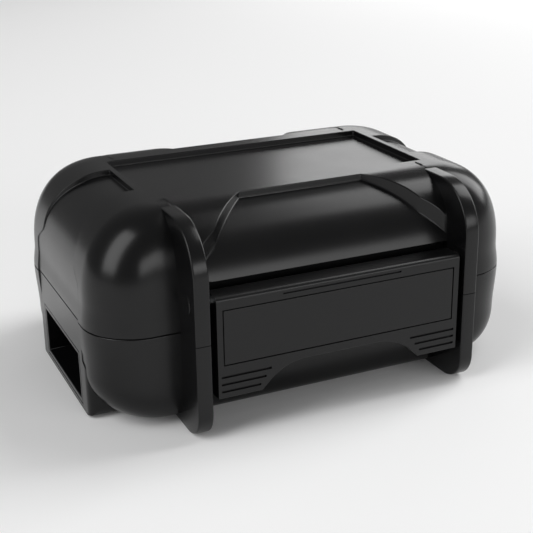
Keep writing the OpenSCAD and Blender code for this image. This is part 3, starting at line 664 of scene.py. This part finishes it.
def flap_points(f):
    """The flap as a closed profile carried along X.

    The profile runs up the face, over the round upper edge to the pivot's barrel, down the back
    and out along the lower lip. The face steps back in the label's recess and in the grooves."""
    run = (f.scoop_base - f.scoop_top) / 2
    lean = run / f.scoop_height * 0.75
    grooves = [f.low + 4.2 + 4.4 * k for k in range(3)]
    starts = [f.scoop_base / 2 + 4 - (z - f.low) * lean for z in grooves]
    recess = f.label_half + f.label_gap
    marks = [f.half - f.wall, f.half - 2, recess, f.slit_half, f.scoop_base / 2] + starts
    x = np.linspace(-f.half, f.half, 230)
    x = np.sort(np.concatenate([x] + [[sg * m - 0.04, sg * m + 0.04] for m in marks for sg in (-1, 1)]))
    lines = [f.label_low - f.label_gap, f.label_high + f.label_gap]
    zs = [np.linspace(f.low, lines[0], 24), np.linspace(lines[1], f.top - f.edge_r, 6),
          np.linspace(lines[0], lines[1], 8)]
    slit = f.top - f.edge_r - 1.0
    lines += [slit - 0.5, slit + 0.5]
    for z in grooves:
        lines += [z - f.groove / 2, z + f.groove / 2]
    zs = np.unique(np.concatenate(zs + [[v - 0.04, v + 0.04] for v in lines]))
    zs = zs[(zs >= f.low)]
    X, Z = np.meshgrid(x, zs, indexing="ij")
    zb = scoop_line(f, x)
    lip = 0.7
    Zf = np.maximum(Z, zb[:, None] + lip)
    depth = np.zeros_like(Z)
    depth[(np.abs(X) < recess) & (Z > lines[0]) & (Z < lines[1])] = f.label_depth
    depth[(np.abs(X) < f.slit_half) & (np.abs(Z - slit) < 0.5)] = f.slit_depth
    for z, x0 in zip(grooves, starts):
        ax = np.abs(X)
        on = (np.abs(Z - z) < f.groove / 2) & (ax > x0) & (ax < f.half - 2)
        depth[on & (Z > zb[:, None] + lip)] = f.groove_depth
    face_y = -f.front + depth
    # below the face: the lip's round front edge
    q = np.radians(np.linspace(0, 90, 5))[:-1]
    lip_y = -f.front + lip - lip * np.sin(q)[None] + 0 * x[:, None]
    lip_z = zb[:, None] + lip - lip * np.cos(q)[None]
    a = np.radians(np.linspace(180, 90, 8))
    edge_y = -f.front + f.edge_r + f.edge_r * np.cos(a)[None] + 0 * x[:, None]
    edge_z = f.top - f.edge_r + f.edge_r * np.sin(a)[None] + 0 * x[:, None]
    b = np.radians(np.linspace(90, -90, 20))
    bar_y = -f.pivot_y + f.barrel_r * np.cos(b)[None] + 0 * x[:, None]
    bar_z = f.pivot_z + f.barrel_r * np.sin(b)[None] + 0 * x[:, None]
    sides = np.abs(x) > f.half - f.wall
    in_y = np.where(sides, -f.front + f.side_depth, -f.front + f.wall)[:, None]
    rail_y = np.where(sides, -f.front + f.side_depth, -f.front + f.rail_depth)[:, None]
    in_z = np.array([f.pivot_z - f.barrel_r, 60, 50])[None] + 0 * x[:, None]
    low_z = np.stack([zb + f.wall, zb + f.wall, zb], -1)
    low_y = np.concatenate([in_y, rail_y, rail_y], 1)
    Y = np.concatenate([lip_y, face_y, edge_y, bar_y, np.repeat(in_y, 3, 1), low_y], 1)
    ZZ = np.concatenate([lip_z, Zf, edge_z, bar_z, in_z, low_z], 1)
    XX = np.broadcast_to(x[:, None], Y.shape)
    n, m = Y.shape
    pts = np.stack([XX, Y, ZZ], -1).reshape(-1, 3)
    faces = grid_faces(n, m, close_cols=True)
    faces += [list(range(m)), [(n - 1) * m + i for i in range(m)][::-1]]
    return pts, faces


# ---------------------------------------------------------------- materials


def moulded(name, colour, rough, bump, grain, mottle=0.12, gloss=0.33):
    """Moulded plastic: a fine even grain, soft flow marks in the gloss, and a little wear."""
    mat = bpy.data.materials.new(name)
    mat.use_nodes = True
    nt = mat.node_tree
    b = nt.nodes["Principled BSDF"]
    b.inputs["Specular IOR Level"].default_value = gloss
    tex = nt.nodes.new("ShaderNodeTexCoord")
    fine = nt.nodes.new("ShaderNodeTexNoise")
    fine.inputs["Scale"].default_value = grain
    fine.inputs["Detail"].default_value = 3
    broad = nt.nodes.new("ShaderNodeTexNoise")
    broad.inputs["Scale"].default_value = 22
    broad.inputs["Detail"].default_value = 4
    nt.links.new(tex.outputs["Object"], fine.inputs["Vector"])
    nt.links.new(tex.outputs["Object"], broad.inputs["Vector"])
    ramp = nt.nodes.new("ShaderNodeMapRange")
    ramp.inputs["To Min"].default_value = rough - 0.04
    ramp.inputs["To Max"].default_value = rough + 0.05
    nt.links.new(broad.outputs["Fac"], ramp.inputs["Value"])
    nt.links.new(ramp.outputs["Result"], b.inputs["Roughness"])
    mix = nt.nodes.new("ShaderNodeMix")
    mix.data_type = "RGBA"
    c = np.array(colour)
    mix.inputs["A"].default_value = (*(c * (1 - mottle)), 1)
    mix.inputs["B"].default_value = (*(c * (1 + mottle)), 1)
    nt.links.new(broad.outputs["Fac"], mix.inputs["Factor"])
    nt.links.new(mix.outputs["Result"], b.inputs["Base Color"])
    bp = nt.nodes.new("ShaderNodeBump")
    bp.inputs["Strength"].default_value = bump
    bp.inputs["Distance"].default_value = 0.0002
    nt.links.new(fine.outputs["Fac"], bp.inputs["Height"])
    nt.links.new(bp.outputs["Normal"], b.inputs["Normal"])
    return mat


def drawn_steel(name, colour):
    """Drawn wire: fine lines along X in the gloss, with a slightly uneven tone."""
    mat = moulded(name, colour, 0.28, 0.15, 900)
    nt = mat.node_tree
    b = nt.nodes["Principled BSDF"]
    b.inputs["Metallic"].default_value = 1
    tex = next(n for n in nt.nodes if n.type == "TEX_COORD")
    fine = [n for n in nt.nodes if n.type == "TEX_NOISE"][0]
    m = nt.nodes.new("ShaderNodeMapping")
    m.inputs["Scale"].default_value = (0.03, 1, 1)
    nt.links.new(tex.outputs["Object"], m.inputs["Vector"])
    nt.links.new(m.outputs["Vector"], fine.inputs["Vector"])
    return mat


def pressed_bait(name, colour):
    """Pressed grain in wax: coarse specks and a lumpy surface."""
    mat = moulded(name, colour, 0.55, 0.9, 420, mottle=0.5)
    nt = mat.node_tree
    cell = nt.nodes.new("ShaderNodeTexVoronoi")
    cell.inputs["Scale"].default_value = 480
    tex = next(n for n in nt.nodes if n.type == "TEX_COORD")
    nt.links.new(tex.outputs["Object"], cell.inputs["Vector"])
    bp = next(n for n in nt.nodes if n.type == "BUMP")
    nt.links.new(cell.outputs["Distance"], bp.inputs["Height"])
    bp.inputs["Distance"].default_value = 0.0006
    return mat


def finish(key):
    """The material of that name, made once."""
    found = bpy.data.materials.get(key)
    if found:
        return found
    c = bpy.context.scene.station_finishes
    makers = {
        "shell": lambda: moulded("shell", c.shell, 0.24, 0.03, 2600),
        "flap": lambda: moulded("flap", c.flap, 0.30, 0.04, 2600),
        "label": lambda: moulded("label", c.label, 0.36, 0.06, 2900),
        "inside": lambda: moulded("inside", c.inside, 0.42, 0.14, 1200),
        "steel": lambda: drawn_steel("steel", c.steel),
        "bait": lambda: pressed_bait("bait", c.bait),
        "rubber": lambda: moulded("rubber", c.rubber, 0.7, 0.4, 1600),
    }
    return makers[key]()


def dress(obj, key):
    """Gives a piece the finish of that name."""
    obj.data.materials.clear()
    obj.data.materials.append(finish(key))
    return obj


# ---------------------------------------------------------------- operators


class STATION_OT_lid(bpy.types.Operator):
    """Builds the lid shell and the upper hoops"""
    bl_idname = "station.lid"
    bl_label = "Lid"

    def execute(self, context):
        s = context.scene.station_sizes
        half, px, floor, xh, counts, edges = lid_points(s)
        z, level = inner_levels(s, True)
        grid = close_shell(s, half, True, floor, px, (z, level), xh, counts, edges)
        faces = grid_faces(grid.shape[0], grid.shape[1], close_cols=True)
        shell = make("lid_skin", grid.reshape(-1, 3), faces, "lid", ("lid_shell",),
                     bevel=0.5, flats=0.05)
        dress(shell, "shell")
        pts, faces = lid_legs(s)
        dress(make("lid_hoops", pts, faces, "lid"), "shell")
        knuckles(s, True)
        return {"FINISHED"}


class STATION_OT_base(bpy.types.Operator):
    """Builds the base shell, the lower hoops and the frames round the entrances"""
    bl_idname = "station.base"
    bl_label = "Base"

    def execute(self, context):
        s = context.scene.station_sizes
        edges = lid_points(s)[-1]
        half, xh, counts = base_points(s, edges)
        z, level = inner_levels(s, False)
        grid = close_shell(s, half, False, None, None, (z, level), xh, counts, edges)
        faces = grid_faces(grid.shape[0], grid.shape[1], close_cols=True)
        faces = cut_mouths(s, grid.reshape(-1, 3), faces)
        shell = make("base_skin", grid.reshape(-1, 3), faces, "base", ("base_shell",),
                     bevel=0.4, flats=0.05)
        dress(shell, "shell")
        pts, faces = base_legs(s)
        dress(make("base_hoops", pts, faces, "base"), "shell")
        pts, faces = joined([skirt_frame(s, side) for side in (-1, 1)])
        dress(make("end_frames", pts, faces, "base", sharp=50), "shell")
        knuckles(s, False)
        return {"FINISHED"}


def cut_mouths(s, pts, faces):
    """Leaves out the faces of the base's ends that lie behind the mouths."""
    f = np.array(faces)
    mid = pts[f].mean(1)
    gone = (np.abs(mid[:, 0]) > 104) & (np.abs(mid[:, 1]) < s.mouth) & (mid[:, 2] > s.mouth_low) \
        & (mid[:, 2] < s.mouth_high)
    return f[~gone].tolist()


def tube(r_out, x0, x1, cy, cz, n=40):
    """A round bar along X, with its two flat ends and round edges."""
    a = np.linspace(0, 2 * np.pi, n, endpoint=False)
    e = min(0.4, r_out * 0.2)
    rows = [(x0, 0.01), (x0, r_out - e), (x0 + e * 0.3, r_out - e * 0.3), (x0 + e, r_out),
            (x1 - e, r_out), (x1 - e * 0.3, r_out - e * 0.3), (x1, r_out - e), (x1, 0.01)]
    x, r = np.array(rows).T[:, :, None]
    g = np.stack(np.broadcast_arrays(x, cy + r * np.cos(a), cz + r * np.sin(a)), -1)
    faces = grid_faces(len(rows), n, close_cols=True)
    faces += [list(range(n))[::-1], [(len(rows) - 1) * n + i for i in range(n)]]
    return g.reshape(-1, 3), faces


def knuckles(s, lid):
    """The hinge knuckles of one half, each with its web to the shell."""
    r, y, z = 5.0, s.hoop_front - 5.0, s.joint
    place, length, gap = 54.0, 30.0, 0.4
    side_w = (length - 2 * gap) * 0.3
    parts = []
    for side in (-1, 1):
        x0 = side * place - length / 2
        spans = [(x0 + side_w + gap, x0 + length - side_w - gap)] if lid else \
            [(x0, x0 + side_w), (x0 + length - side_w, x0 + length)]
        for a, b in spans:
            parts.append(tube(r, a, b, y, z))
            zs = (z + 0.2, z + r) if lid else (z - r, z - 0.2)
            parts.append(block((a, s.half_depth - 3.5, zs[0]), (b, y, zs[1])))
    pts, faces = joined(parts)
    body = "lid" if lid else "base"
    dress(make(body + "_knuckles", pts, faces, body), "shell")


def block(lo, hi):
    """A plain web between two corners."""
    p = np.array([[x, y, z] for x in (lo[0], hi[0]) for y in (lo[1], hi[1]) for z in (lo[2], hi[2])], float)
    return p, [[0, 1, 3, 2], [4, 6, 7, 5], [0, 4, 5, 1], [2, 3, 7, 6], [0, 2, 6, 4], [1, 5, 7, 3]]


class STATION_OT_flap(bpy.types.Operator):
    """Builds the front flap with its scoop, grooves and label plate"""
    bl_idname = "station.flap"
    bl_label = "Flap"

    def execute(self, context):
        f = context.scene.station_flap
        parts = [flap_points(f)]
        for side in (-1, 1):
            x = side * (f.half - 15.6)
            z = f.low + f.wall + 3
            parts.append(block((x - 4.5, -f.front + 2, z), (x + 4.5, -f.pivot_y + 2, z + 4)))
        pts, faces = joined(parts)
        panel = make("flap_panel", pts, faces, "flap", ("latch_flap",), sharp=30, weld=0.002)
        dress(panel, "flap")
        dress(polished("label_plate", 0.35), "label")
        return {"FINISHED"}


class STATION_OT_inside(bpy.types.Operator):
    """Rounds off the tray, the sleeves, the baffles, the rods, the bait, the pads and the pins"""
    bl_idname = "station.inside"
    bl_label = "Inner parts"

    def execute(self, context):
        for n in frame["nodes"]:
            if n.startswith("entrance_sleeve"):
                dress(polished(n, 0.5), "shell")
            elif n.startswith("baffle") or n == "bait_tray":
                dress(polished(n, 0.35), "inside")
            elif n.startswith("bait_rod") or n.startswith("hinge_pin") or n == "pivot_rod":
                dress(polished(n, 0.25), "steel")
            elif n.startswith("bait_block"):
                dress(polished(n, 0.8), "bait")
            elif n.startswith("pad"):
                dress(polished(n, 0.5), "rubber")
        s, f = context.scene.station_sizes, context.scene.station_flap
        out = s.hoop_in + s.hoop_thick
        for side, name in ((-1, "left"), (1, "right")):
            x0, x1 = sorted((side * (out - 1.5), side * (out + 0.45)))
            pts, faces = tube(s.cap_r, x0, x1, -f.pivot_y, f.pivot_z)
            cap = make("cap_" + name, pts, faces, "lid", ("pivot_cap_" + name,))
            dress(cap, "shell")
        return {"FINISHED"}


def soft_light(name, place, target, size_x, size_y, power, colour=(1, 1, 1)):
    """A plain rectangular studio light that faces target."""
    data = bpy.data.lights.new(name, "AREA")
    data.shape = "RECTANGLE"
    data.size, data.size_y, data.energy, data.color = size_x, size_y, power, colour
    obj = bpy.data.objects.new(name, data)
    obj.location = place
    obj.rotation_euler = (Vector(target) - Vector(place)).to_track_quat("-Z", "Y").to_euler()
    bpy.context.scene.collection.objects.link(obj)
    return obj


class STATION_OT_stage(bpy.types.Operator):
    """Makes the floor, the soft lights and the camera"""
    bl_idname = "station.stage"
    bl_label = "Stage"

    def execute(self, context):
        c = context.scene.station_finishes
        n, reach, drop = 3, 9.0, 0.0003
        y, x = np.meshgrid(*[np.linspace(-reach, reach, n)] * 2, indexing="ij")
        g = np.stack([x, y, np.full_like(x, -drop)], -1)
        mesh = bpy.data.meshes.new("floor")
        mesh.from_pydata(g.reshape(-1, 3).tolist(), [], grid_faces(n, n))
        floor = bpy.data.objects.new("floor", mesh)
        context.scene.collection.objects.link(floor)
        mat = bpy.data.materials.new("floor")
        mat.use_nodes = True
        b = mat.node_tree.nodes["Principled BSDF"]
        b.inputs["Base Color"].default_value = (*c.floor, 1)
        b.inputs["Roughness"].default_value = 0.9
        b.inputs["Specular IOR Level"].default_value = 0.1
        mesh.materials.append(mat)
        world = bpy.data.worlds.new("studio")
        world.use_nodes = True
        bg = world.node_tree.nodes["Background"]
        bg.inputs["Color"].default_value = (1, 1, 1, 1)
        bg.inputs["Strength"].default_value = 0.2
        context.scene.world = world
        soft_light("left", (-2.9, -0.6, 2.3), (0, 0, 0), 2.0, 4.0, 85)
        soft_light("right", (3.0, 0.2, 2.3), (0, 0, 0), 2.0, 4.0, 105)
        soft_light("front", (0.5, -2.0, 0.65), (0, 0, 0.06), 2.4, 0.6, 14)
        soft_light("rear", (1.5, 1.9, 0.75), (0, 0, 0.06), 1.1, 0.7, 5)
        camera = bpy.data.cameras.new("camera")
        camera.lens, camera.sensor_width = 74.70, 36
        camera.clip_start = 0.01
        eye = bpy.data.objects.new("camera", camera)
        az, el, roll = math.radians(-24.36), math.radians(20.72), math.radians(0.797)
        fwd = Vector((-math.sin(az) * math.cos(el), math.cos(az) * math.cos(el), -math.sin(el)))
        right = fwd.cross(Vector((0, 0, 1))).normalized()
        up = right.cross(fwd)
        turn = Matrix.Rotation(roll, 3, fwd)
        right, up = turn @ right, turn @ up
        m = Matrix((right, up, -fwd)).transposed().to_4x4()
        m.translation = Vector((-0.2787, -0.6195, 0.3106))
        eye.matrix_world = m
        context.scene.collection.objects.link(eye)
        context.scene.camera = eye
        context.scene.view_settings.view_transform = "Standard"
        return {"FINISHED"}


class STATION_PT_panel(bpy.types.Panel):
    """Lists the steps that build the station"""
    bl_idname = "STATION_PT_panel"
    bl_label = "Bait Station"
    bl_space_type = "VIEW_3D"
    bl_region_type = "UI"
    bl_category = "Bait Station"

    def draw(self, context):
        for step in STEPS:
            self.layout.operator(step.bl_idname)


STEPS = (STATION_OT_lid, STATION_OT_base, STATION_OT_flap, STATION_OT_inside, STATION_OT_stage)
GROUPS = {"station_sizes": StationSizes, "station_flap": FlapSizes, "station_finishes": Finishes}


def register():
    for cls in (*GROUPS.values(), *STEPS, STATION_PT_panel):
        bpy.utils.register_class(cls)
    for name, cls in GROUPS.items():
        setattr(bpy.types.Scene, name, bpy.props.PointerProperty(type=cls))


def unregister():
    for name in GROUPS:
        delattr(bpy.types.Scene, name)
    for cls in reversed((*GROUPS.values(), *STEPS, STATION_PT_panel)):
        bpy.utils.unregister_class(cls)


def main():
    register()
    for step in STEPS:
        group, name = step.bl_idname.split(".")
        getattr(getattr(bpy.ops, group), name)()


if __name__ == "__main__":
    main()
